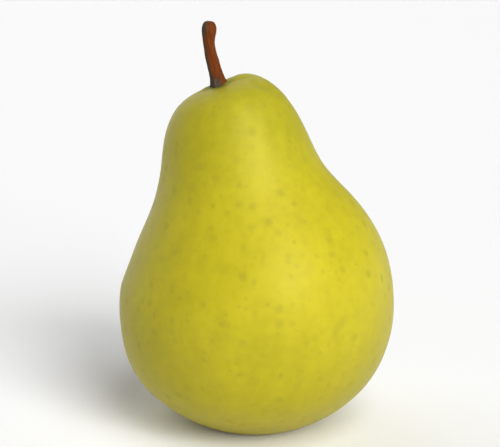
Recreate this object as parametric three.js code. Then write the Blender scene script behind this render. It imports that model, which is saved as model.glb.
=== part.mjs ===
// A ripe pear standing on its base, as picked: the fruit, its woody stem, and the dried calyx that is
// left of the flower in the basin underneath.
//
// Millimetres, +Z up. The origin is on the surface that the pear stands on, under the middle of the
// fruit. The fruit and the stem are each turned from a profile and then bent along a line: the neck
// leans towards -X, and the stem leaves the crown on that side, beside the highest part of it.
import * as THREE from "three";
import { mergeVertices } from "three/addons/utils/BufferGeometryUtils.js";

// The base: a flat ring to stand on, round the basin that holds the calyx.
const FOOT_INNER_RADIUS = 9;
const FOOT_OUTER_RADIUS = 12;
const BASIN_DEPTH = 5;
const PIT_RADIUS = 2.4;
const PIT_DEPTH = 7.5;

// The seat of the stem: a flat disc in a shallow cavity in the crown.
const SEAT_RADIUS = 2.6;
const SEAT_HEIGHT = 87.5;
const SEAT_GAP = 0.3;

// The fruit's radius and height, measured along its core line, at the points that pull its outline.
const FLESH_OUTLINE = [
  [FOOT_OUTER_RADIUS, 0],
  [15.5, 1],
  [24.5, 6],
  [32.25, 14],
  [35, 24],
  [36, 34],
  [34.25, 44],
  [29, 54],
  [21.5, 64],
  [19, 73],
  [16.75, 81],
  [12.25, 87.5],
  [6, 89.5],
  [4.6, 89],
  [SEAT_RADIUS + 0.3, 88],
  [SEAT_RADIUS, SEAT_HEIGHT],
];
const BASIN_OUTLINE = [
  [PIT_RADIUS, BASIN_DEPTH],
  [4, BASIN_DEPTH],
  [6, 3],
  [8, 0.6],
  [FOOT_INNER_RADIUS, 0],
];
const CORE_LINE = [
  [0, 0, 0],
  [0, 0, 15],
  [0, 0, 28],
  [0.25, 0, 40],
  [-1.75, 0, 52],
  [-4, 0, 64],
  [-6, 0, 77],
  [-9.5, 0, 88.25],
];

// Shallow lobes round the flesh: each is a wave that turns on its way from the base to the crown.
const LOBES = [
  { waves: 2, depth: 0.004, start: 3, twist: 3.7 },
  { waves: 3, depth: 0.005, start: 5.6, twist: -4.8 },
  { waves: 5, depth: 0.003, start: -0.5, twist: 0.7 },
];

// The crown's fold: a fleshy lip behind the stem and a crease in front of it.
const LIP = { x: 7.5, y: 3.25, reach: 6, rise: 1.3 };
const CREASE = { x: 5, y: 0.8, reach: 5, width: 1.3, depth: 0.7 };

// The stem's radius at each distance from its foot, and the line it follows up from the seat.
const STEM_OUTLINE = [
  [2.4, 0],
  [2.15, 1],
  [1.75, 3],
  [1.65, 6],
  [1.6, 9],
  [1.4, 12],
  [1.45, 13.8],
  [1.85, 16],
  [1.8, 17.4],
  [1.2, 18],
  [0, 18],
];
const STEM_LINE = [
  [0, 0, 0],
  [-0.25, 0, 0.8],
  [-0.4, 0, 3],
  [-1.3, -0.2, 6.3],
  [-2.3, -0.5, 10],
  [-2.9, -0.8, 13.5],
  [-2.5, -1, 18],
];

// The dried calyx: five pointed sepals that spread from the rim of the pit, round a tuft of withered
// stamens.
const SEPAL_COUNT = 5;
const SEPAL_LINE = [
  [2.8, 0, 4.4],
  [4.2, 0, 4.2],
  [5.5, 0, 3],
  [6.4, 0, 1.2],
];
const SEPAL_WIDTH = 2.8;
const SEPAL_TIP_WIDTH = 0.5;
const SEPAL_THICKNESS = 0.5;
const TUFT_OUTLINE = [
  [1.2, 3.1],
  [1.9, 4],
  [1.6, 5.5],
  [1.5, PIT_DEPTH - 0.3],
];

const TURNS = 64;

// A smooth curve pulled towards its control points: a uniform cubic B-spline that starts on the first
// point and ends on the last, along the first and the last leg.
class PulledCurve extends THREE.Curve {
  constructor(points) {
    super();
    const pulls = points.map((point) => new THREE.Vector3(...point));
    const before = pulls[0].clone().multiplyScalar(2).sub(pulls[1]);
    const after = pulls.at(-1).clone().multiplyScalar(2).sub(pulls.at(-2));
    this.pulls = [before, ...pulls, after];
  }

  getPoint(t, target = new THREE.Vector3()) {
    const legs = this.pulls.length - 3;
    const leg = Math.min(Math.floor(t * legs), legs - 1);
    const f = t * legs - leg;
    const weights = [
      (1 - f) ** 3,
      3 * f ** 3 - 6 * f ** 2 + 4,
      -3 * f ** 3 + 3 * f ** 2 + 3 * f + 1,
      f ** 3,
    ];
    target.set(0, 0, 0);
    weights.forEach((weight, i) => target.addScaledVector(this.pulls[leg + i], weight / 6));
    return target;
  }
}

// Points [radius, height] spaced evenly along an outline.
function spaced(outline, count) {
  return new PulledCurve(outline.map(([radius, height]) => [radius, height, 0]))
    .getSpacedPoints(count)
    .map((point) => new THREE.Vector2(point.x, point.y));
}

// A solid of revolution about Z as one closed mesh with each vertex once. The profile runs from the
// axis to the axis.
function turned(profile, turns) {
  const lathe = new THREE.LatheGeometry(profile, turns).rotateX(Math.PI / 2);
  lathe.deleteAttribute("normal");
  lathe.deleteAttribute("uv");
  return mergeVertices(lathe);
}

// Moves each vertex of a geometry to where the function puts it.
function reshaped(geometry, placeOf) {
  const position = geometry.getAttribute("position");
  const point = new THREE.Vector3();
  for (let i = 0; i < position.count; i++) {
    point.fromBufferAttribute(position, i);
    position.setXYZ(i, ...placeOf(point));
  }
  geometry.computeVertexNormals();
  return geometry;
}

// Bends a solid that stands on Z along a line: height becomes distance along the line, and each level
// stays square to it.
function bentAlong(line, point) {
  const length = line.getLength();
  const share = THREE.MathUtils.clamp(point.z / length, 0, 1);
  const along = line.getTangentAt(share);
  const side = new THREE.Vector3(0, 1, 0).cross(along).normalize();
  const back = along.clone().cross(side);
  return line
    .getPointAt(share)
    .addScaledVector(side, point.x)
    .addScaledVector(back, point.y)
    .addScaledVector(along, point.z - share * length);
}

const smoothstep = THREE.MathUtils.smoothstep;

// How far out the lobes push the flesh at an angle and a height. They fade out at the foot and crown.
function lobeFactor(angle, height) {
  const share = height / SEAT_HEIGHT;
  const strength = smoothstep(share, 0, 0.25) * (1 - smoothstep(share, 0.8, 1));
  const waves = LOBES.map((lobe) => {
    const phase = lobe.waves * angle + lobe.start + lobe.twist * share * Math.PI;
    return lobe.depth * Math.cos(phase);
  });
  return 1 + strength * waves.reduce((sum, wave) => sum + wave, 0);
}

// The height that the lip and the crease add to the crown at a place on it.
function crownFold(x, y) {
  const fromSeat = smoothstep(Math.hypot(x, y), SEAT_RADIUS, SEAT_RADIUS + 1.5);
  const lip = LIP.rise * Math.exp(-(((x - LIP.x) ** 2 + (y - LIP.y) ** 2) / LIP.reach ** 2));
  const across = (y - CREASE.y) / CREASE.width;
  const along = (x - CREASE.x) / CREASE.reach;
  const crease = CREASE.depth * Math.exp(-(across ** 2 + along ** 2));
  return fromSeat * (lip - crease);
}

const coreLine = new PulledCurve(CORE_LINE);

function makeFruit() {
  const profile = [
    new THREE.Vector2(0, PIT_DEPTH),
    new THREE.Vector2(PIT_RADIUS, PIT_DEPTH),
    ...spaced(BASIN_OUTLINE, 6),
    ...spaced(FLESH_OUTLINE, 46),
    new THREE.Vector2(0, SEAT_HEIGHT),
  ];
  return reshaped(turned(profile, TURNS), (point) => {
    const factor = lobeFactor(Math.atan2(point.y, point.x), point.z);
    point.set(point.x * factor, point.y * factor, point.z);
    if (point.z > SEAT_HEIGHT - 6) point.z += crownFold(point.x, point.y);
    return bentAlong(coreLine, point);
  });
}

function makeStem() {
  const foot = bentAlong(coreLine, new THREE.Vector3(0, 0, SEAT_HEIGHT + SEAT_GAP));
  const line = new PulledCurve(STEM_LINE);
  const profile = [new THREE.Vector2(0, 0), ...spaced(STEM_OUTLINE, 22)];
  return reshaped(turned(profile, 20), (point) => bentAlong(line, point).add(foot));
}

// A sepal's width at a share of its length: broad at the root and drawn to a blunt point.
function sepalWidth(share) {
  return SEPAL_TIP_WIDTH + (SEPAL_WIDTH - SEPAL_TIP_WIDTH) * (1 - share ** 2.2);
}

function makeSepal(turn) {
  const line = new PulledCurve(SEPAL_LINE);
  const length = line.getLength();
  const blade = new THREE.BoxGeometry(SEPAL_THICKNESS, 1, 1, 1, 4, 8);
  blade.deleteAttribute("normal");
  blade.deleteAttribute("uv");
  const bent = reshaped(mergeVertices(blade), (point) => {
    const share = point.z + 0.5;
    point.set(point.x, point.y * sepalWidth(share), share * length);
    return bentAlong(line, point);
  });
  return bent.rotateZ(turn);
}

function makeTuft() {
  const profile = [
    new THREE.Vector2(0, TUFT_OUTLINE[0][1]),
    ...spaced(TUFT_OUTLINE, 6),
    new THREE.Vector2(0, TUFT_OUTLINE.at(-1)[1]),
  ];
  return turned(profile, 16);
}

const SKIN = new THREE.MeshStandardMaterial({ color: 0xd2c63e, roughness: 0.45 });
const BARK = new THREE.MeshStandardMaterial({ color: 0x77401c, roughness: 0.75 });
const DRIED_LEAF = new THREE.MeshStandardMaterial({ color: 0x4a3620, roughness: 0.9 });

function addPiece(group, name, geometry, material) {
  const piece = new THREE.Mesh(geometry, material);
  piece.name = name;
  group.add(piece);
}

const pear = new THREE.Group();
addPiece(pear, "fruit", makeFruit(), SKIN);
addPiece(pear, "stem", makeStem(), BARK);

for (let i = 0; i < SEPAL_COUNT; i++) {
  const turn = ((i + 0.3) / SEPAL_COUNT) * 2 * Math.PI;
  addPiece(pear, `sepal_${i + 1}`, makeSepal(turn), DRIED_LEAF);
}
addPiece(pear, "stamens", makeTuft(), DRIED_LEAF);

// The origin goes under the middle of the whole pear.
const middle = new THREE.Box3().setFromObject(pear, true).getCenter(new THREE.Vector3());
pear.children.forEach((piece) => piece.geometry.translate(-middle.x, -middle.y, 0));

export default pear;
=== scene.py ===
"""A ripe yellow-green pear with its woody stem and dried calyx, standing on a plain pale floor."""

import math
import random

import bpy
import numpy as np
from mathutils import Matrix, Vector


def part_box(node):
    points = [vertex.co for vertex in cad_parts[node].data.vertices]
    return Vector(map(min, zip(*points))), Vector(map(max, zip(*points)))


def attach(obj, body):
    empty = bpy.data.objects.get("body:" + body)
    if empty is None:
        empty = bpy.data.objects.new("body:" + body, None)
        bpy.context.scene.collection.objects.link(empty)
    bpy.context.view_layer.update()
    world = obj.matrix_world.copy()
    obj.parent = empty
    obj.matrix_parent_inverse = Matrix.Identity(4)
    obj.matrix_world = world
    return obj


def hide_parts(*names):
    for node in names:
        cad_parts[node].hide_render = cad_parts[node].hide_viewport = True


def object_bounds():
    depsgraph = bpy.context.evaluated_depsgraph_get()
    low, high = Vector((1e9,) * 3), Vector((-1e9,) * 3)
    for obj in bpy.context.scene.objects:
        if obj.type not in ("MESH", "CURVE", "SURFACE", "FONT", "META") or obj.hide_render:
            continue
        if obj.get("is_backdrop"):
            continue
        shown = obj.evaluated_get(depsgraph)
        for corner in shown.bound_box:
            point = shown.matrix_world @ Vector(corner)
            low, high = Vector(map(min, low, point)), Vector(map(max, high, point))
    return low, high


bl_info = {
    "name": "Pear",
    "version": (1, 0, 0),
    "blender": (4, 5, 0),
    "location": "View3D > Sidebar > Pear",
    "description": "Builds a ripe pear with its stem and calyx, and a plain stage to show it on",
    "category": "Add Mesh",
}

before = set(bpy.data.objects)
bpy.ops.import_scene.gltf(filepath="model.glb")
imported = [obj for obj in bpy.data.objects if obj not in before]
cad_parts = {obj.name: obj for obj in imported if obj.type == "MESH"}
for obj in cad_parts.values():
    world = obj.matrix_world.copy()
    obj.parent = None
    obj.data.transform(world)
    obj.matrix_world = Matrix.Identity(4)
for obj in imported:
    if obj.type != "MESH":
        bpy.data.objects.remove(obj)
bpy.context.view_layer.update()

MM = 0.001


def box_size(node):
    """The size of a part of the frame along X, Y and Z."""
    low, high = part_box(node)
    return high - low


def box_middle(node):
    """The middle of a part of the frame."""
    low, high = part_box(node)
    return (low + high) / 2


# The tuft of stamens stands on the line that the fruit is turned about.
TURNING_AXIS = np.array([box_middle("stamens").x, box_middle("stamens").y, 0.0])

# The outlines below are [radius, height] in millimetres, for a fruit of this width and height.
DRAWN_WIDTH = 71.3
DRAWN_HEIGHT = 91.1
FOOT_INNER_RADIUS = 9.0
FOOT_OUTER_RADIUS = 12.0
PIT_DEPTH = 7.5

# The flat seat of the stem: its height and the radii of the rings that divide it.
SEAT_HEIGHT = 87.5
SEAT_RINGS = (1.2, 0.6)

FLESH_OUTLINE = [
    (FOOT_OUTER_RADIUS, 0),
    (15.5, 1),
    (24.5, 6),
    (32.25, 14),
    (35, 24),
    (36, 34),
    (34.25, 44),
    (29, 54),
    (21.5, 64),
    (19, 73),
    (16.75, 81),
    (12.25, 87.5),
    (6.5, 89.3),
    (4.5, 89.4),
    (3.2, 89.5),
    (2.5, 89.5),
    (2.1, 89.45),
    (1.9, 89.2),
    (1.85, 88.3),
    (1.85, SEAT_HEIGHT),
]
BASIN_OUTLINE = [
    (0.3, PIT_DEPTH),
    (1.8, PIT_DEPTH),
    (2.45, 7.2),
    (2.4, 5.6),
    (2.9, 5),
    (4.2, 4.8),
    (6, 3),
    (8, 0.6),
    (FOOT_INNER_RADIUS, 0),
]
CORE_LINE = [
    (0, 0, 0),
    (0, 0, 15),
    (0, 0, 28),
    (0.25, 0, 40),
    (-1.75, 0, 52),
    (-4, 0, 64),
    (-6, 0, 77),
    (-9.5, 0, 88.25),
]

# How finely the fruit is divided: columns round it, and rows up its basin, foot and flesh. A row of
# the flesh is kept at every fourth step, at every second one on the shoulder of the crown, and at
# each one beyond it, where the creases are.
FRUIT_COLUMNS = 256
BASIN_ROWS = 34
FOOT_ROWS = 5
FLESH_STEPS = 800
SHOULDER_STEP = 600
CROWN_STEP = 700

# Shallow lobes round the flesh: waves, depth as a share of the radius, start angle and twist.
LOBES = [(2, 0.004, 3.0, 3.7), (3, 0.005, 5.6, -4.8), (5, 0.003, -0.5, 0.7)]

# The direction from the core towards the key light: the skin on the side turned away from it gets
# painted shade.
KEY_LIGHT_SIDE = np.array([0.515, -0.857])

# The faint rub mark low on the front right side: its two ends and half its width.
RUB_MARK = ((20.8, -28.3, 35.3), (18.9, -29.8, 32.3))
RUB_MARK_REACH = 1.0

# The fleshy lip behind the stem, on the crown: place, reach and rise.
LIP = (7.5, 3.25, 6.0, 1.3)

# A low swelling to the left of the stem's foot and a shallow hollow in front of it: place, reach
# and rise.
SWELLINGS = [(-2.6, 0.2, 1.8, 0.45), (0.4, -3.4, 2.2, -0.35)]

# How far below the seat the shaping of the crown reaches, and between which depths the lip sets in.
CROWN_REACH = 14
LIP_START = 6.5
LIP_FULL = 5.5

# Creases pressed into the crown: the places that each runs through, its width and its depth.
CREASES = [
    ([(2.8, -1.6), (5, -2), (7.2, -0.8), (11, 0.4)], 0.85, 0.6),
    ([(9.8, -5.9), (11.2, -5.8), (12.4, -5.6), (13.8, -5.2)], 1.3, 0.3),
    ([(2.6, 1.2), (4.5, 3.6), (5.2, 6)], 0.8, 0.2),
    ([(-0.5, 2.7), (-1.2, 4.6), (-2, 6.6)], 0.8, 0.2),
    ([(-2.4, 1.4), (-4.4, 2.3), (-6.4, 3)], 0.8, 0.12),
    ([(-2.2, -1.7), (-3.6, -3.3), (-4.6, -5.4)], 0.8, 0.12),
    ([(0.6, -2.8), (1.4, -4.6), (2.4, -6.6)], 0.8, 0.12),
]

# The stem's divisions, its drawn thickness, and its [radius, distance from its foot].
STEM_ROWS = 130
STEM_COLUMNS = 72
DRAWN_THICKNESS = 3.3
STEM_OUTLINE = [
    (0, 0.05),
    (2.2, 0.05),
    (2.4, 0.3),
    (2.4, 1),
    (2.45, 1.7),
    (2.1, 2.6),
    (1.75, 4),
    (1.65, 6),
    (1.6, 9),
    (1.4, 12),
    (1.45, 13.8),
    (1.8, 15.6),
    (1.85, 17),
    (1.5, 18.1),
    (0.8, 18.5),
    (0, 18.5),
]

# The line that the stem follows up from its seat.
STEM_LINE = [
    (0, 0, 0),
    (-0.25, 0, 0.8),
    (-0.4, 0, 3),
    (-1.3, -0.2, 6.3),
    (-2.3, -0.5, 10),
    (-2.9, -0.8, 13.5),
    (-2.5, -1, 18),
]

# The ridges of the bark: how many round the stem, their height as a share of its radius, how far
# they wander, how fast, and where the wandering starts.
BARK_RIDGES = [(7, 0.035, 0.6, 0.5, 0), (13, 0.022, 1.1, 0.8, 2), (23, 0.012, 1.7, 1.1, 1)]

# A sepal's middle line, out from the rim of the pit and down towards the mouth of the basin.
SEPAL_LINE = [(2.7, 0, 4.5), (4.2, 0, 4.2), (5.6, 0, 3), (6.3, 0, 1.4)]
SEPAL_COUNT = 5
SEPAL_START = 0.3

# The dots on the skin: how densely they are scattered, their size and softness, and their strength.
PORES = (320, 0.25, 0.75, 0.4)
FINE_PORES = (500, 0.2, 0.75, 0.26)
STAINS = (140, 0.16, 0.9, 0.22)

# The pale flecks on the bark.
FLECK_COLOUR = (0.3, 0.19, 0.1)

# How far each soft light is turned to the right of the front, how far it is raised, and how wide it
# looks from the pear, in degrees.
KEY_LIGHT = (31, 24, 35)
TOP_LIGHT = (31, 54, 35)
BACK_LIGHT = (-145, 25, 90)

# The sines of the elevations between which the backdrop fades into the sky.
HORIZON_FADE = (0.08, 0.25)

FLOOR_REACH = 12.0

# Where the camera looks, from the point half way up the frame's middle line.
AIM_OFFSET = Vector((-0.00174, 0, 0.00055))


class PearFruitSettings(bpy.types.PropertyGroup):
    """The size and the colours of the fruit."""

    width: bpy.props.FloatProperty(
        name="Width",
        description="Width of the fruit at its widest",
        default=box_size("fruit").x,
        min=0.03,
        max=0.2,
        subtype="DISTANCE",
        unit="LENGTH",
    )
    height: bpy.props.FloatProperty(
        name="Height",
        description="Height of the fruit without its stem",
        default=box_size("fruit").z,
        min=0.03,
        max=0.3,
        subtype="DISTANCE",
        unit="LENGTH",
    )
    unevenness: bpy.props.FloatProperty(
        name="Unevenness",
        description="How far the skin swells in and out in broad soft dents",
        default=0.0004,
        min=0.0,
        max=0.003,
        subtype="DISTANCE",
        unit="LENGTH",
    )
    ripe: bpy.props.FloatVectorProperty(
        name="Ripe skin",
        description="Colour of the ripest skin",
        default=(0.44, 0.38, 0.0125),
        min=0.0,
        max=1.0,
        subtype="COLOR",
    )
    greenish: bpy.props.FloatVectorProperty(
        name="Greenish skin",
        description="Colour of the skin that has ripened least",
        default=(0.355, 0.318, 0.0125),
        min=0.0,
        max=1.0,
        subtype="COLOR",
    )
    # Painted shade: a darker colour of the same hue as the ripe skin, laid towards the base and on
    # the side turned away from the key light.
    shaded_skin: bpy.props.FloatVectorProperty(
        name="Deep skin",
        description="Colour of the duller skin towards the base",
        default=(0.355, 0.306, 0.0105),
        min=0.0,
        max=1.0,
        subtype="COLOR",
    )
    cavity: bpy.props.FloatVectorProperty(
        name="Stem cavity",
        description="Colour of the green skin that closes round the stem",
        default=(0.035, 0.13, 0.02),
        min=0.0,
        max=1.0,
        subtype="COLOR",
    )
    dots: bpy.props.FloatVectorProperty(
        name="Lenticels",
        description="Colour of the small pores dotted over the skin",
        default=(0.24, 0.225, 0.02),
        min=0.0,
        max=1.0,
        subtype="COLOR",
    )
    russet: bpy.props.FloatVectorProperty(
        name="Russet",
        description="Colour of the corky skin round the stem and in the basin",
        default=(0.2, 0.125, 0.035),
        min=0.0,
        max=1.0,
        subtype="COLOR",
    )
    tube: bpy.props.FloatVectorProperty(
        name="Calyx tube",
        description="Colour of the dry lining of the tube that the stamens stand in",
        default=(0.05, 0.028, 0.012),
        min=0.0,
        max=1.0,
        subtype="COLOR",
    )


class PearStemSettings(bpy.types.PropertyGroup):
    """The size and the colours of the stem."""

    thickness: bpy.props.FloatProperty(
        name="Thickness",
        description="Thickness of the stem half way up",
        default=0.0033,
        min=0.001,
        max=0.01,
        subtype="DISTANCE",
        unit="LENGTH",
    )
    bark: bpy.props.FloatVectorProperty(
        name="Bark",
        description="Reddish brown of the young bark",
        default=(0.135, 0.029, 0.002),
        min=0.0,
        max=1.0,
        subtype="COLOR",
    )
    # Painted shade: this grey brown also lies down the stem's left side, away from the key light,
    # as well as on the weathered foot and knob.
    weathered_and_shaded: bpy.props.FloatVectorProperty(
        name="Weathered bark",
        description="Grey brown of the old bark at the foot and the knob",
        default=(0.06, 0.045, 0.028),
        min=0.0,
        max=1.0,
        subtype="COLOR",
    )
    scar: bpy.props.FloatVectorProperty(
        name="Scar",
        description="Colour of the scar where the stem left the twig",
        default=(0.11, 0.07, 0.04),
        min=0.0,
        max=1.0,
        subtype="COLOR",
    )


class PearCalyxSettings(bpy.types.PropertyGroup):
    """The size and the colours of the dried calyx."""

    sepal_width: bpy.props.FloatProperty(
        name="Sepal width",
        description="Width of a sepal at its root",
        default=0.003,
        min=0.001,
        max=0.01,
        subtype="DISTANCE",
        unit="LENGTH",
    )
    filaments: bpy.props.IntProperty(
        name="Filaments",
        description="How many withered stamens the tuft holds",
        default=18,
        min=3,
        max=40,
    )
    leaf: bpy.props.FloatVectorProperty(
        name="Sepal",
        description="Colour of the dried sepals",
        default=(0.06, 0.032, 0.014),
        min=0.0,
        max=1.0,
        subtype="COLOR",
    )
    leaf_edge: bpy.props.FloatVectorProperty(
        name="Sepal tip",
        description="Colour of the papery tips of the sepals",
        default=(0.17, 0.1, 0.045),
        min=0.0,
        max=1.0,
        subtype="COLOR",
    )
    filament: bpy.props.FloatVectorProperty(
        name="Filament",
        description="Colour of the withered stamens",
        default=(0.13, 0.08, 0.04),
        min=0.0,
        max=1.0,
        subtype="COLOR",
    )


class PearStageSettings(bpy.types.PropertyGroup):
    """The floor, the light and the camera."""

    floor: bpy.props.FloatVectorProperty(
        name="Floor",
        description="Colour of the floor",
        default=(0.93, 0.93, 0.93),
        min=0.0,
        max=1.0,
        subtype="COLOR",
    )
    key_power: bpy.props.FloatProperty(
        name="Key light",
        description="Strength of the soft light from the front right",
        default=2.8,
        min=0.0,
        max=20.0,
    )
    top_power: bpy.props.FloatProperty(
        name="Top light",
        description="Strength of the soft light from above the key light",
        default=1.35,
        min=0.0,
        max=20.0,
    )
    back_power: bpy.props.FloatProperty(
        name="Back light",
        description="Strength of the weak light that opens up the side facing away",
        default=1.4,
        min=0.0,
        max=20.0,
    )
    horizon: bpy.props.FloatProperty(
        name="Horizon",
        description="Strength of the pale backdrop near the horizon",
        default=0.7,
        min=0.0,
        max=5.0,
    )
    sky_power: bpy.props.FloatProperty(
        name="Sky light",
        description="Strength of the even light from all round",
        default=0.1,
        min=0.0,
        max=5.0,
    )
    elevation: bpy.props.FloatProperty(
        name="Camera height",
        description="Angle that the camera looks down at",
        default=math.radians(12),
        min=0.0,
        max=math.radians(89),
        subtype="ANGLE",
        unit="ROTATION",
    )
    distance: bpy.props.FloatProperty(
        name="Camera distance",
        description="Distance from the camera to the middle of the pear",
        default=0.358,
        min=0.05,
        max=5.0,
        subtype="DISTANCE",
        unit="LENGTH",
    )
    lens: bpy.props.FloatProperty(
        name="Lens",
        description="Focal length of the camera in millimetres",
        default=100.0,
        min=20.0,
        max=300.0,
    )


def pulled_curve(pulls, count):
    """Evenly spaced points on the smooth curve that its points pull: a uniform cubic B-spline
    that starts on the first of them and ends on the last."""
    pulls = np.array(pulls, float)
    before = 2 * pulls[0] - pulls[1]
    after = 2 * pulls[-1] - pulls[-2]
    pulls = np.vstack([before, pulls, after])
    legs = len(pulls) - 3
    t = np.linspace(0, legs, 2400)
    leg = np.minimum(t.astype(int), legs - 1)
    f = (t - leg)[:, None]
    weights = [
        (1 - f) ** 3,
        3 * f**3 - 6 * f**2 + 4,
        -3 * f**3 + 3 * f**2 + 3 * f + 1,
        f**3,
    ]
    points = sum(weight * pulls[leg + i] for i, weight in enumerate(weights)) / 6
    along = run_length(points)
    even = np.linspace(0, along[-1], count)
    columns = [np.interp(even, along, column) for column in points.T]
    return np.stack(columns, axis=1)


def run_length(points):
    """How far along a row of points each of them is."""
    steps = np.linalg.norm(np.diff(points, axis=0), axis=1)
    return np.concatenate([[0], np.cumsum(steps)])


def unit(vectors):
    """The same directions with a length of one."""
    return vectors / np.linalg.norm(vectors, axis=-1, keepdims=True)


def bent_along(line, solid):
    """Bends points that stand on Z along a line: height becomes distance along the line, and each
    level stays square to it."""
    spine = pulled_curve(line, 600)
    along = run_length(spine)
    headings = np.gradient(spine, axis=0)
    height = solid[..., 2]
    on_line = np.clip(height, 0, along[-1])
    centre = np.stack([np.interp(on_line, along, axis) for axis in spine.T], axis=-1)
    heading = unit(np.stack([np.interp(on_line, along, axis) for axis in headings.T], axis=-1))
    side = unit(np.cross([0.0, 1.0, 0.0], heading))
    back = np.cross(heading, side)
    beyond = (height - on_line)[..., None]
    return centre + side * solid[..., :1] + back * solid[..., 1:2] + heading * beyond


def smoothstep(value, low, high):
    """Rises smoothly from 0 to 1 as the value goes from low to high."""
    share = np.clip((value - low) / (high - low), 0, 1)
    return share * share * (3 - 2 * share)


def turned(outline, columns):
    """Rings of points round Z, one ring for each [radius, height]. Each starts at the back."""
    outline = np.array(outline, float)
    angle = math.pi / 2 + np.linspace(0, 2 * math.pi, columns, endpoint=False)
    x = outline[:, :1] * np.cos(angle)
    y = outline[:, :1] * np.sin(angle)
    z = np.repeat(outline[:, 1:], columns, axis=1)
    return np.stack([x, y, z], axis=-1)


def skin_rings(body):
    """The vertices, faces and bake-map places of one closed skin over rings of points. A point at
    the middle of the first ring and of the last closes the ends."""
    rows, columns = body.shape[:2]
    points = np.vstack([body.reshape(-1, 3), body[0].mean(axis=0), body[-1].mean(axis=0)])
    first_end, last_end = len(points) - 2, len(points) - 1
    along = run_length(body.mean(axis=1))
    around = run_length(body[:, 0])
    share = 0.01 + 0.98 * (around / around[-1] if around[-1] > 0 else along)
    faces = []
    places = []
    for j in range(columns):
        k = (j + 1) % columns
        left, right = j / columns, (j + 1) / columns
        faces.append((first_end, k, j))
        places += [((left + right) / 2, 0), (right, share[0]), (left, share[0])]
        for i in range(rows - 1):
            low, high = i * columns, (i + 1) * columns
            faces.append((low + j, low + k, high + k, high + j))
            places += [
                (left, share[i]),
                (right, share[i]),
                (right, share[i + 1]),
                (left, share[i + 1]),
            ]
        last = (rows - 1) * columns
        faces.append((last + j, last + k, last_end))
        places += [(left, share[-1]), (right, share[-1]), ((left + right) / 2, 1)]
    return points, faces, places


def make_piece(name, bodies, replaced):
    """A smooth piece from one or more closed bodies of rings, in millimetres, that rides on the
    pear and stands for parts of the frame."""
    points = []
    faces = []
    places = []
    for i, body in enumerate(bodies):
        body_points, body_faces, body_places = skin_rings(body)
        start = sum(len(done) for done in points)
        points.append(body_points)
        faces += [tuple(start + corner for corner in face) for face in body_faces]
        places += [((i + u) / len(bodies), v) for u, v in body_places]
    mesh = bpy.data.meshes.new(name)
    mesh.from_pydata(np.vstack(points) * MM + TURNING_AXIS, [], faces)
    bake_map = mesh.uv_layers.new(name="OFBake")
    bake_map.data.foreach_set("uv", np.array(places).ravel())
    mesh.shade_smooth()
    piece = bpy.data.objects.new(name, mesh)
    bpy.context.scene.collection.objects.link(piece)
    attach(piece, "root")
    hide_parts(*replaced)
    return piece


def write_shares(piece, name, shares):
    """Stores one number from 0 to 1 at each vertex, for the material to read."""
    layer = piece.data.attributes.new(name, "FLOAT", "POINT")
    layer.data.foreach_set("value", np.clip(shares, 0, 1).astype(np.float32))


def flattened(rings):
    """A number for each vertex of a skinned body, from a number for each point of its rings."""
    return np.concatenate([rings.ravel(), [rings[0].mean(), rings[-1].mean()]])


def distance_to_path(x, y, path):
    """The distance from places to a path of short straight legs, and how far along it each is."""
    path = np.array(path, float)
    reach = run_length(path)
    nearest = np.full(x.shape, np.inf)
    share = np.zeros(x.shape)
    for i, (start, end) in enumerate(zip(path[:-1], path[1:])):
        leg = end - start
        on_leg = ((x - start[0]) * leg[0] + (y - start[1]) * leg[1]) / (leg @ leg)
        on_leg = np.clip(on_leg, 0, 1)
        away = np.hypot(x - start[0] - on_leg * leg[0], y - start[1] - on_leg * leg[1])
        closer = away < nearest
        nearest = np.where(closer, away, nearest)
        along = (reach[i] + on_leg * (reach[i + 1] - reach[i])) / reach[-1]
        share = np.where(closer, along, share)
    return nearest, share


def crown_creases(x, y):
    """How deep the creases are pressed into the crown at places on it."""
    depth = np.zeros(x.shape)
    for path, width, deepest in CREASES:
        away, share = distance_to_path(x, y, pulled_curve(path, 12))
        fade = 1 - smoothstep(share, 0.35, 1)
        depth += deepest * fade * np.exp(-((away / width) ** 2))
    return depth


def rub_mark(points):
    """How rubbed the skin is at each point: 1 along the middle of the mark."""
    start, end = np.array(RUB_MARK)
    leg = end - start
    on_leg = np.clip((points - start) @ leg / (leg @ leg), 0, 1)
    away = np.linalg.norm(points - start - on_leg[..., None] * leg, axis=-1)
    return np.exp(-((away / RUB_MARK_REACH) ** 2))


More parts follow.
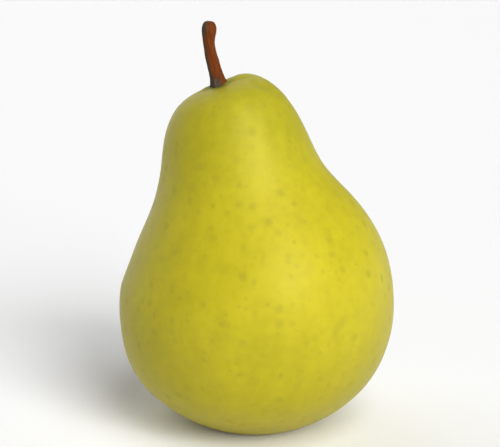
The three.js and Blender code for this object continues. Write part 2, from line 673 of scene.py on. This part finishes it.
def fruit_rings():
    """The rings of the fruit from the roof of the pit, over the foot and the flesh, to the seat,
    and how deep its creases are."""
    foot_radii = np.linspace(FOOT_INNER_RADIUS, FOOT_OUTER_RADIUS, FOOT_ROWS)
    foot = [(radius, 0.0) for radius in foot_radii]
    basin = pulled_curve(BASIN_OUTLINE, BASIN_ROWS)
    fine = pulled_curve(FLESH_OUTLINE, FLESH_STEPS)
    body = fine[:SHOULDER_STEP:4]
    shoulder = fine[SHOULDER_STEP:CROWN_STEP:2]
    top = fine[CROWN_STEP:]
    seat = [(radius, SEAT_HEIGHT) for radius in SEAT_RINGS]
    rings = turned([*basin[:-1], *foot[:-1], *body, *shoulder, *top, *seat], FRUIT_COLUMNS)
    x, y, height = rings[..., 0], rings[..., 1], rings[..., 2]
    radius = np.hypot(x, y)
    angle = np.arctan2(y, x)

    share = height / SEAT_HEIGHT
    lobed = smoothstep(share, 0, 0.25) * (1 - smoothstep(share, 0.8, 1))
    swell = np.ones(x.shape)
    for waves, depth, start, twist in LOBES:
        phase = waves * angle + start + twist * share * math.pi
        swell += lobed * depth * np.cos(phase)

    in_basin = (height < 6) & (radius < FOOT_INNER_RADIUS)
    wall = smoothstep(radius, 3, 5) * (1 - smoothstep(radius, 7, FOOT_INNER_RADIUS))
    ribs = 0.35 * wall * np.cos(SEPAL_COUNT * (angle - SEPAL_START * 2 * math.pi / SEPAL_COUNT))
    rib_height = np.where(in_basin, ribs, 0)

    x = x * swell
    y = y * swell
    crown = height > SEAT_HEIGHT - CROWN_REACH
    # The seat of the stem stays where it is, and the lip lifts what lies above and outside it.
    outside = np.hypot(x, y) > 4
    from_seat = np.minimum(smoothstep(height, SEAT_HEIGHT, SEAT_HEIGHT + 1) + outside, 1)
    lip_x, lip_y, reach, rise = LIP
    lip = rise * np.exp(-((x - lip_x) ** 2 + (y - lip_y) ** 2) / reach**2)
    for swell_x, swell_y, swell_reach, swell_rise in SWELLINGS:
        away = np.hypot(x - swell_x, y - swell_y) / swell_reach
        lip += swell_rise * np.exp(-(away**2))
    near_top = smoothstep(height, SEAT_HEIGHT - LIP_START, SEAT_HEIGHT - LIP_FULL)
    creases = np.where(crown, crown_creases(x, y), 0)
    lift = near_top * from_seat * lip - creases * smoothstep(np.hypot(x, y), 2.4, 3.2)
    solid = np.stack([x, y, height + rib_height + np.where(crown, lift, 0)], axis=-1)
    return bent_along(CORE_LINE, solid), creases


def stem_foot():
    """The middle of the stem's seat."""
    return bent_along(CORE_LINE, np.array([0.0, 0.0, SEAT_HEIGHT]))


def skin_shares(rings, creases):
    """Where each colour of the skin lies: a number from 0 to 1 for each point of the rings."""
    from_foot = np.linalg.norm(rings - stem_foot(), axis=-1)
    height = rings[..., 2]
    radius = np.hypot(rings[..., 0], rings[..., 1])
    basin = (1 - smoothstep(radius, 5, 14)) * (1 - smoothstep(height, 6, 9))
    near_stem = 0.5 * (1 - smoothstep(from_foot, 3, 8))
    # Painted shade: the side of the skin turned away from the key light takes on the darker colour.
    toward_key_light = (rings[..., :2] @ KEY_LIGHT_SIDE) / np.maximum(radius, 1)
    away_from_key_light = 1 - smoothstep(toward_key_light, 0.2, 0.95)
    return {
        "calyx_tube": (1 - smoothstep(radius, 2.6, 3.6)) * (1 - smoothstep(height, 9, 10)),
        # Painted shade in the creases of the crown, and the faint rub mark that the skin has.
        "crease_shade_and_rub_mark": creases + 0.3 * rub_mark(rings),
        "round_stem": 0.9 * (1 - smoothstep(from_foot, 2.8, 5)),
        "unripe": smoothstep(height, 58, 84),
        # Painted shade: darker towards the base and, by half as much, on the side away from the key
        # light.
        "shaded_skin": 1 - smoothstep(height, 8, 48) + 0.5 * away_from_key_light,
        "russet": np.maximum(basin, near_stem),
    }


def stem_rings(thickness):
    """The rings of the stem, ridged along its length like dried bark, and where its bark is grey
    brown: weathered at the foot and the knob, and painted shade down its left side.
    """
    outline = pulled_curve(STEM_OUTLINE, STEM_ROWS)[1:-1]
    rings = turned(outline, STEM_COLUMNS)
    height = rings[..., 2]
    angle = np.arctan2(rings[..., 1], rings[..., 0])
    shaft = smoothstep(height, 0.2, 2) * (1 - smoothstep(height, 16.6, 18))
    turn = angle + 0.05 * height
    ridges = np.zeros(height.shape)
    for count, rise, wander, pace, start in BARK_RIDGES:
        ridges += rise * np.cos(count * turn + wander * np.sin(pace * height + start))
    rumple = 0.02 * np.sin(1.9 * height + 1.3 * np.cos(angle)) * np.cos(2 * angle + 0.3 * height)
    foot = 1 - smoothstep(height, 2.6, 6)
    flare = smoothstep(height, 1.2, 1.8) * (1 - smoothstep(height, 2.4, 3.6))
    rightward = np.clip(np.cos(angle - 0.3), -0.35, 1)
    bulge = 0.12 * flare * rightward + 0.03 * flare * np.cos(4 * angle + 1)
    scale = (thickness / MM / DRAWN_THICKNESS) * (1 + shaft * (ridges + rumple) + bulge)
    solid = rings * np.stack([scale, scale, np.ones(scale.shape)], axis=-1)
    # Grey brown bark: painted shade down the left side, away from the key light, and weathering at
    # the foot and the knob.
    leftward = 0.5 - 0.5 * np.cos(angle + 0.2)
    knob = smoothstep(height, 13.5, 17)
    weathered_and_shaded = 0.8 * smoothstep(leftward, 0.5, 0.85) + foot * smoothstep(leftward, 0.05, 0.36)
    weathered_and_shaded += 0.7 * knob * smoothstep(leftward, 0.35, 0.7)
    return bent_along(STEM_LINE, solid) + stem_foot(), weathered_and_shaded


def sepal_rings(index, width):
    """The rings of one dried sepal. Each is cupped, rumpled and curled in a way of its own."""
    dice = random.Random(40 + index)
    line = [
        (x, y, z + dice.uniform(-0.25, 0.25) * smoothstep(x, 3.5, 5)) for x, y, z in SEPAL_LINE
    ]
    line[-1] = (line[-1][0] + dice.uniform(-0.6, 0.3), dice.uniform(-0.7, 0.7), line[-1][2])
    length = run_length(pulled_curve(line, 60))[-1]
    share = np.linspace(0, 1, 34)[:, None]
    angle = np.linspace(0, 2 * math.pi, 40, endpoint=False)[None, :]
    half_width = (0.2 + (width / MM - 0.2) * (1 - share**2.2) ** 0.8) / 2
    half_thick = 0.22 - 0.12 * share
    across = np.sign(np.cos(angle)) * np.abs(np.cos(angle)) ** 0.8
    y = half_width * across
    cup = 0.45 * (np.abs(across) ** 2) * half_width
    waves = 0.12 * np.sin(9 * share + dice.uniform(0, 6)) * across
    waves = waves + 0.1 * np.sin(5 * across + 6 * share + dice.uniform(0, 6)) * share
    keel = -0.12 * np.exp(-((across / 0.18) ** 2)) * (1 - share)
    x = half_thick * np.sin(angle) + cup + waves + keel
    x, y = np.broadcast_arrays(x, -y)
    z = np.broadcast_to(share * length, x.shape)
    rings = bent_along(line, np.stack([x, y, z], axis=-1))
    turn = (index + SEPAL_START) / SEPAL_COUNT * 2 * math.pi + dice.uniform(-0.1, 0.1)
    cos, sin = math.cos(turn), math.sin(turn)
    spun = np.array([[cos, sin, 0], [-sin, cos, 0], [0, 0, 1]])
    return rings @ spun, np.broadcast_to(share, x.shape)


def filament_rings(dice):
    """The rings of one withered stamen, from the roof of the pit down to its anther."""
    turn = dice.uniform(0, 2 * math.pi)
    root = dice.uniform(0.2, 1.5)
    tip = root + dice.uniform(0.1, 0.9)
    drop = dice.uniform(2.6, 4.2)
    bow = dice.uniform(-0.5, 0.5)
    outward = np.array([math.cos(turn), math.sin(turn), 0])
    aside = np.array([-math.sin(turn), math.cos(turn), 0])
    down = np.array([0, 0, -1.0])
    top = outward * root + np.array([0, 0, PIT_DEPTH + 0.1])
    line = [
        top,
        top + down * drop * 0.35 + aside * bow,
        top + down * drop * 0.7 + outward * (tip - root) * 0.4 + aside * bow,
        top + down * drop + outward * (tip - root),
    ]
    length = run_length(pulled_curve(line, 60))[-1]
    anther = [(0.12, length - 0.7), (0.3, length - 0.5), (0.33, length - 0.2), (0.1, length)]
    outline = [(0.16, 0), (0.11, length * 0.3), (0.1, length - 1.1), *anther]
    rings = turned(pulled_curve(outline, 16), 10)
    spine = pulled_curve(line, 80)
    along = run_length(spine)
    centre = np.stack([np.interp(rings[..., 2], along, axis) for axis in spine.T], axis=-1)
    # The line runs down, so the rings are mirrored across it to keep their outside out.
    return centre + rings * [1, -1, 0]


def link(material, output, socket):
    """Wires one output to one input."""
    material.node_tree.links.new(output, socket)


def feed(material, value, socket):
    """Gives an input a value, or the output of another node."""
    if isinstance(value, bpy.types.NodeSocket):
        link(material, value, socket)
    else:
        socket.default_value = value


def add_node(material, kind, inputs=None, **settings):
    """Adds a shader node. An input is a value, or the output of another node."""
    node = material.node_tree.nodes.new(kind)
    for name, value in settings.items():
        setattr(node, name, value)
    for name, value in (inputs or {}).items():
        feed(material, value, node.inputs[name])
    return node


def new_material(name):
    """An empty node material and its surface shader."""
    material = bpy.data.materials.new(name)
    material.use_nodes = True
    return material, material.node_tree.nodes["Principled BSDF"]


def noise(material, place, scale, detail=3.0, roughness=0.5, output="Fac"):
    """A cloudy pattern from 0 to 1."""
    inputs = {"Vector": place, "Scale": scale, "Detail": detail, "Roughness": roughness}
    return add_node(material, "ShaderNodeTexNoise", inputs).outputs[output]


def ramp(material, value, low, high, low_out=0.0, high_out=1.0):
    """Rises smoothly from low_out to high_out as a value goes from low to high."""
    inputs = {
        "Value": value,
        "From Min": low,
        "From Max": high,
        "To Min": low_out,
        "To Max": high_out,
    }
    node = add_node(material, "ShaderNodeMapRange", inputs, interpolation_type="SMOOTHSTEP")
    return node.outputs["Result"]


def maths(material, operation, first, second):
    """One sum on two values."""
    node = add_node(material, "ShaderNodeMath", {0: first, 1: second}, operation=operation)
    return node.outputs["Value"]


def blend(material, share, base, over, way="MIX"):
    """Lays one colour over another by a share."""
    node = add_node(material, "ShaderNodeMix", data_type="RGBA", blend_type=way)
    # The node has a socket of each name for every kind of data. These are the ones for colours.
    factor, first, second = node.inputs[0], node.inputs[6], node.inputs[7]
    feed(material, share, factor)
    feed(material, as_colour(base), first)
    feed(material, as_colour(over), second)
    return node.outputs[2]


def as_colour(colour):
    """A colour with its alpha, or a socket as it is."""
    return colour if isinstance(colour, bpy.types.NodeSocket) else (*colour, 1.0)


def scaled(material, value, strength):
    """A value times a strength, which may be a value of its own."""
    return maths(material, "MULTIPLY", value, strength)


def spots(material, place, scale, size, softness):
    """Small soft dots, each with a size and a strength of its own. The value is near 1 in the
    middle of the strongest."""
    inputs = {"Vector": place, "Scale": scale, "Randomness": 1.0}
    cells = add_node(material, "ShaderNodeTexVoronoi", inputs, feature="F1")
    chance = add_node(material, "ShaderNodeSeparateColor", {"Color": cells.outputs["Color"]})
    wide = ramp(material, chance.outputs["Green"], 0, 1, 0.6, 1.35)
    away = maths(material, "DIVIDE", cells.outputs["Distance"], wide)
    dot = ramp(material, away, size * (1 + softness), size * (1 - softness))
    return scaled(material, dot, ramp(material, chance.outputs["Red"], 0.1, 0.95))


def shares_of(material, name):
    """The number that the mesh stores at each vertex under a name."""
    node = add_node(material, "ShaderNodeAttribute", attribute_name=name)
    return node.outputs["Fac"]


def skin_material(settings):
    """Yellow-green skin: clouded, dotted with pores, green round the stem, corky in the basin, with
    painted shade towards the base, on the side away from the key light and in the creases of the
    crown.
    """
    material, surface = new_material("pear skin")
    place = add_node(material, "ShaderNodeTexCoord").outputs["Object"]
    broad = noise(material, place, 28, detail=2)
    streaked = add_node(material, "ShaderNodeMapping", {"Vector": place, "Scale": (1, 1, 0.3)})
    streaks = noise(material, streaked.outputs["Vector"], 240, detail=4)
    mottle = noise(material, place, 420, detail=3)
    stray = noise(material, place, 700, detail=1, output="Color")
    rough_place = add_node(
        material,
        "ShaderNodeVectorMath",
        {0: stray, 1: (0.0007, 0.0007, 0.0007), 2: place},
        operation="MULTIPLY_ADD",
    ).outputs["Vector"]

    clouds = ramp(material, broad, 0.45, 0.9)
    unripe = maths(material, "ADD", shares_of(material, "unripe"), clouds)
    colour = blend(material, unripe, settings.ripe, settings.greenish)
    # Painted shade: the darker skin colour, laid in uneven clouds towards the base and away from
    # the key light.
    cloudy = ramp(material, broad, 0.3, 0.7, 0.75, 1.15)
    shaded_skin = scaled(material, shares_of(material, "shaded_skin"), cloudy)
    colour = blend(material, shaded_skin, colour, settings.shaded_skin)
    shade = ramp(material, streaks, 0.3, 0.7, 0.965, 1.03)
    colour = blend(material, 1.0, colour, shade, "MULTIPLY")
    shade = ramp(material, mottle, 0.3, 0.7, 0.96, 1.03)
    colour = blend(material, 1.0, colour, shade, "MULTIPLY")
    layers = []
    for density, size, softness, strength in (PORES, FINE_PORES, STAINS):
        dots = spots(material, rough_place, density, size, softness)
        colour = blend(material, scaled(material, dots, strength), colour, settings.dots)
        layers.append(dots)
    pores = layers[0]
    # Painted shade darkens the creases of the crown; the rub mark is the skin's own.
    colour = blend(material, shares_of(material, "crease_shade_and_rub_mark"), colour, settings.dots)
    colour = blend(material, shares_of(material, "round_stem"), colour, settings.cavity)
    corky = noise(material, place, 900, detail=5)
    cork = ramp(material, corky, 0.25, 0.65, 0.35, 1.0)
    cork = scaled(material, shares_of(material, "russet"), cork)
    colour = blend(material, cork, colour, settings.russet)
    colour = blend(material, shares_of(material, "calyx_tube"), colour, settings.tube)
    link(material, colour, surface.inputs["Base Color"])

    rough = ramp(material, mottle, 0.3, 0.7, 0.45, 0.52)
    rough = maths(material, "ADD", rough, scaled(material, pores, 0.1))
    rough = maths(material, "ADD", rough, scaled(material, cork, 0.3))
    link(material, rough, surface.inputs["Roughness"])
    grain = noise(material, place, 1500, detail=3)
    relief = maths(material, "ADD", scaled(material, grain, 0.35), pores)
    bump = add_node(
        material,
        "ShaderNodeBump",
        {"Height": relief, "Strength": 0.35, "Distance": 0.00004},
    )
    link(material, bump.outputs["Normal"], surface.inputs["Normal"])
    surface.inputs["IOR"].default_value = 1.45
    surface.inputs["Specular IOR Level"].default_value = 0.52
    surface.inputs["Specular Tint"].default_value = (1.0, 0.87, 0.3, 1.0)
    surface.inputs["Subsurface Weight"].default_value = 0.12
    surface.inputs["Subsurface Radius"].default_value = (1.0, 0.7, 0.2)
    surface.inputs["Subsurface Scale"].default_value = 0.003
    return material


def bark_material(settings):
    """Reddish brown bark, streaked along the stem, grey brown where it has weathered and as painted
    shade down its left side.
    """
    material, surface = new_material("stem bark")
    place = add_node(material, "ShaderNodeTexCoord").outputs["Object"]
    leaning = add_node(
        material,
        "ShaderNodeMapping",
        {"Vector": place, "Rotation": (0, 0.22, 0), "Scale": (1, 1, 0.12)},
    ).outputs["Vector"]
    fibres = noise(material, leaning, 2600, detail=4, roughness=0.6)
    patches = noise(material, place, 420, detail=3)
    flecks = spots(material, place, 900, 0.2, 0.5)
    patchy = ramp(material, patches, 0.2, 0.6, 0.6, 1.0)
    # Painted shade down the left side of the stem, with real weathering at the foot and the knob.
    weathered_and_shaded = scaled(material, shares_of(material, "weathered_and_shaded"), patchy)
    colour = blend(material, weathered_and_shaded, settings.bark, settings.weathered_and_shaded)
    shade = ramp(material, fibres, 0.32, 0.68, 0.68, 1.2)
    colour = blend(material, 1.0, colour, shade, "MULTIPLY")
    colour = blend(material, scaled(material, flecks, 0.25), colour, FLECK_COLOUR)
    colour = blend(material, shares_of(material, "scar"), colour, settings.scar)
    link(material, colour, surface.inputs["Base Color"])
    rough = ramp(material, fibres, 0.3, 0.7, 0.62, 0.78)
    link(material, rough, surface.inputs["Roughness"])
    bump = add_node(
        material,
        "ShaderNodeBump",
        {"Height": fibres, "Strength": 0.6, "Distance": 0.00012},
    )
    link(material, bump.outputs["Normal"], surface.inputs["Normal"])
    surface.inputs["Specular IOR Level"].default_value = 0.12
    return material


def dried_material(name, root, tip):
    """Dry papery brown that pales towards the tip."""
    material, surface = new_material(name)
    place = add_node(material, "ShaderNodeTexCoord").outputs["Object"]
    veins = noise(material, place, 1800, detail=4, roughness=0.6)
    veined = ramp(material, veins, 0.3, 0.7, 0.4, 1.0)
    pale = scaled(material, shares_of(material, "to_tip"), veined)
    colour = blend(material, pale, root, tip)
    shade = ramp(material, veins, 0.3, 0.7, 0.7, 1.2)
    colour = blend(material, 1.0, colour, shade, "MULTIPLY")
    link(material, colour, surface.inputs["Base Color"])
    bump = add_node(
        material,
        "ShaderNodeBump",
        {"Height": veins, "Strength": 0.6, "Distance": 0.0001},
    )
    link(material, bump.outputs["Normal"], surface.inputs["Normal"])
    surface.inputs["Roughness"].default_value = 0.85
    surface.inputs["Specular IOR Level"].default_value = 0.15
    return material


class PEAR_OT_fruit(bpy.types.Operator):
    """Make the fruit: its flesh and skin, with the stem cavity and the calyx basin"""

    bl_idname = "pear.fruit"
    bl_label = "Fruit"

    def execute(self, context):
        settings = context.scene.pear_fruit
        rings, creases = fruit_rings()
        wide = settings.width / MM / DRAWN_WIDTH
        tall = settings.height / MM / DRAWN_HEIGHT
        rings = rings * [wide, wide, tall]
        fruit = make_piece("pear_fruit", [rings], ["fruit"])
        for name, shares in skin_shares(rings, creases).items():
            write_shares(fruit, name, flattened(shares))
        fruit.data.materials.append(skin_material(settings))

        # The broad dents fade out at the foot, which stays flat, and at the crown.
        height = rings[..., 2]
        firm = smoothstep(height, 1, 12) * (1 - smoothstep(height, 80, 87))
        group = fruit.vertex_groups.new(name="soft_skin")
        for index, weight in enumerate(flattened(firm)):
            if weight > 0:
                group.add([index], float(weight), "REPLACE")
        clouds = bpy.data.textures.new("broad dents", "CLOUDS")
        clouds.noise_scale = 0.016
        clouds.noise_depth = 1
        dents = fruit.modifiers.new("broad dents", "DISPLACE")
        dents.texture = clouds
        dents.texture_coords = "LOCAL"
        dents.vertex_group = group.name
        dents.strength = settings.unevenness
        dents.mid_level = 0.5
        return {"FINISHED"}


class PEAR_OT_stem(bpy.types.Operator):
    """Make the woody stem that leaves the crown on one side"""

    bl_idname = "pear.stem"
    bl_label = "Stem"

    def execute(self, context):
        settings = context.scene.pear_stem
        rings, weathered_and_shaded = stem_rings(settings.thickness)
        stem = make_piece("pear_stem", [rings], ["stem"])
        height = rings[..., 2]
        top = height.max()
        # The grey brown share: painted shade down the left side and weathering at the foot and the
        # knob.
        write_shares(stem, "weathered_and_shaded", flattened(weathered_and_shaded))
        write_shares(stem, "scar", flattened(smoothstep(height, top - 0.25, top - 0.1)))
        stem.data.materials.append(bark_material(settings))
        return {"FINISHED"}


class PEAR_OT_sepals(bpy.types.Operator):
    """Make the dried sepals that spread in the basin"""

    bl_idname = "pear.sepals"
    bl_label = "Sepals"

    def execute(self, context):
        settings = context.scene.pear_calyx
        dry = dried_material("dried sepal", settings.leaf, settings.leaf_edge)
        for index in range(SEPAL_COUNT):
            number = index + 1
            rings, share = sepal_rings(index, settings.sepal_width)
            name = f"pear_sepal_{number}"
            sepal = make_piece(name, [rings], [f"sepal_{number}"])
            write_shares(sepal, "to_tip", flattened(smoothstep(share, 0.4, 1)))
            sepal.data.materials.append(dry)
        return {"FINISHED"}


class PEAR_OT_stamens(bpy.types.Operator):
    """Make the tuft of withered stamens in the middle of the calyx"""

    bl_idname = "pear.stamens"
    bl_label = "Stamens"

    def execute(self, context):
        settings = context.scene.pear_calyx
        dice = random.Random(7)
        filaments = [filament_rings(dice) for _ in range(settings.filaments)]
        tuft = make_piece("pear_stamens", filaments, ["stamens"])
        height = np.concatenate([flattened(rings[..., 2]) for rings in filaments])
        write_shares(tuft, "to_tip", 1 - smoothstep(height, 3.5, 6))
        dry = dried_material("withered stamen", settings.leaf, settings.filament)
        tuft.data.materials.append(dry)
        return {"FINISHED"}


def add_sun(name, power, right, up, spread):
    """A soft light, turned to the right of the front, raised and spread by angles in degrees."""
    light = bpy.data.lights.new(name, "SUN")
    light.energy = power
    light.angle = math.radians(spread)
    lamp = bpy.data.objects.new(name, light)
    bpy.context.scene.collection.objects.link(lamp)
    lamp.rotation_euler = (math.radians(90 - up), 0, math.radians(right))


class PEAR_OT_stage(bpy.types.Operator):
    """Make the pale floor, the soft light and the camera"""

    bl_idname = "pear.stage"
    bl_label = "Stage"

    def execute(self, context):
        settings = context.scene.pear_stage
        scene = context.scene
        floor_mesh = bpy.data.meshes.new("floor")
        sides = [(-1, -1), (1, -1), (1, 1), (-1, 1)]
        corners = [(x * FLOOR_REACH, y * FLOOR_REACH, 0) for x, y in sides]
        floor_mesh.from_pydata(corners, [], [(0, 1, 2, 3)])
        floor = bpy.data.objects.new("floor", floor_mesh)
        scene.collection.objects.link(floor)
        material, surface = new_material("pale floor")
        surface.inputs["Base Color"].default_value = (*settings.floor, 1)
        surface.inputs["Roughness"].default_value = 0.9
        surface.inputs["Specular IOR Level"].default_value = 0.1
        floor_mesh.materials.append(material)
        floor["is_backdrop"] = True

        add_sun("key light", settings.key_power, *KEY_LIGHT)
        add_sun("top light", settings.top_power, *TOP_LIGHT)
        add_sun("back light", settings.back_power, *BACK_LIGHT)

        world = bpy.data.worlds.new("even light")
        world.use_nodes = True
        sky = world.node_tree.nodes["Background"]
        sky.inputs["Color"].default_value = (1, 1, 1, 1)
        direction = add_node(world, "ShaderNodeTexCoord").outputs["Generated"]
        level = add_node(world, "ShaderNodeSeparateXYZ", {"Vector": direction}).outputs["Z"]
        strength = ramp(world, level, *HORIZON_FADE, settings.horizon, settings.sky_power)
        link(world, strength, sky.inputs["Strength"])
        scene.world = world

        lens = bpy.data.cameras.new("camera")
        lens.lens = settings.lens
        lens.sensor_width = 36
        lens.clip_start = 0.01
        lens.clip_end = 100
        camera = bpy.data.objects.new("camera", lens)
        scene.collection.objects.link(camera)
        low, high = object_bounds()
        aim = Vector((0, 0, (low.z + high.z) / 2)) + AIM_OFFSET
        back = Vector((0, -math.cos(settings.elevation), math.sin(settings.elevation)))
        camera.location = aim + back * settings.distance
        camera.rotation_euler = back.to_track_quat("Z", "Y").to_euler()
        scene.camera = camera
        scene.view_settings.view_transform = "Standard"
        return {"FINISHED"}


STEPS = (PEAR_OT_fruit, PEAR_OT_stem, PEAR_OT_sepals, PEAR_OT_stamens, PEAR_OT_stage)


class PEAR_PT_panel(bpy.types.Panel):
    """Lists the pieces of the pear with their settings"""

    bl_idname = "PEAR_PT_panel"
    bl_label = "Pear"
    bl_space_type = "VIEW_3D"
    bl_region_type = "UI"
    bl_category = "Pear"

    def draw(self, context):
        layout = self.layout
        for step in STEPS:
            layout.operator(step.bl_idname)
        for name in SETTINGS:
            box = layout.box()
            group = getattr(context.scene, name)
            for key in group.bl_rna.properties.keys():
                if key not in ("rna_type", "name"):
                    box.prop(group, key)


SETTINGS = {
    "pear_fruit": PearFruitSettings,
    "pear_stem": PearStemSettings,
    "pear_calyx": PearCalyxSettings,
    "pear_stage": PearStageSettings,
}
CLASSES = (*SETTINGS.values(), *STEPS, PEAR_PT_panel)


def register():
    for cls in CLASSES:
        bpy.utils.register_class(cls)
    for name, group in SETTINGS.items():
        setattr(bpy.types.Scene, name, bpy.props.PointerProperty(type=group))


def unregister():
    for name in SETTINGS:
        delattr(bpy.types.Scene, name)
    for cls in reversed(CLASSES):
        bpy.utils.unregister_class(cls)


def main():
    """Makes the pieces in order."""
    register()
    bpy.ops.pear.fruit()
    bpy.ops.pear.stem()
    bpy.ops.pear.sepals()
    bpy.ops.pear.stamens()
    bpy.ops.pear.stage()


if __name__ == "__main__":
    main()
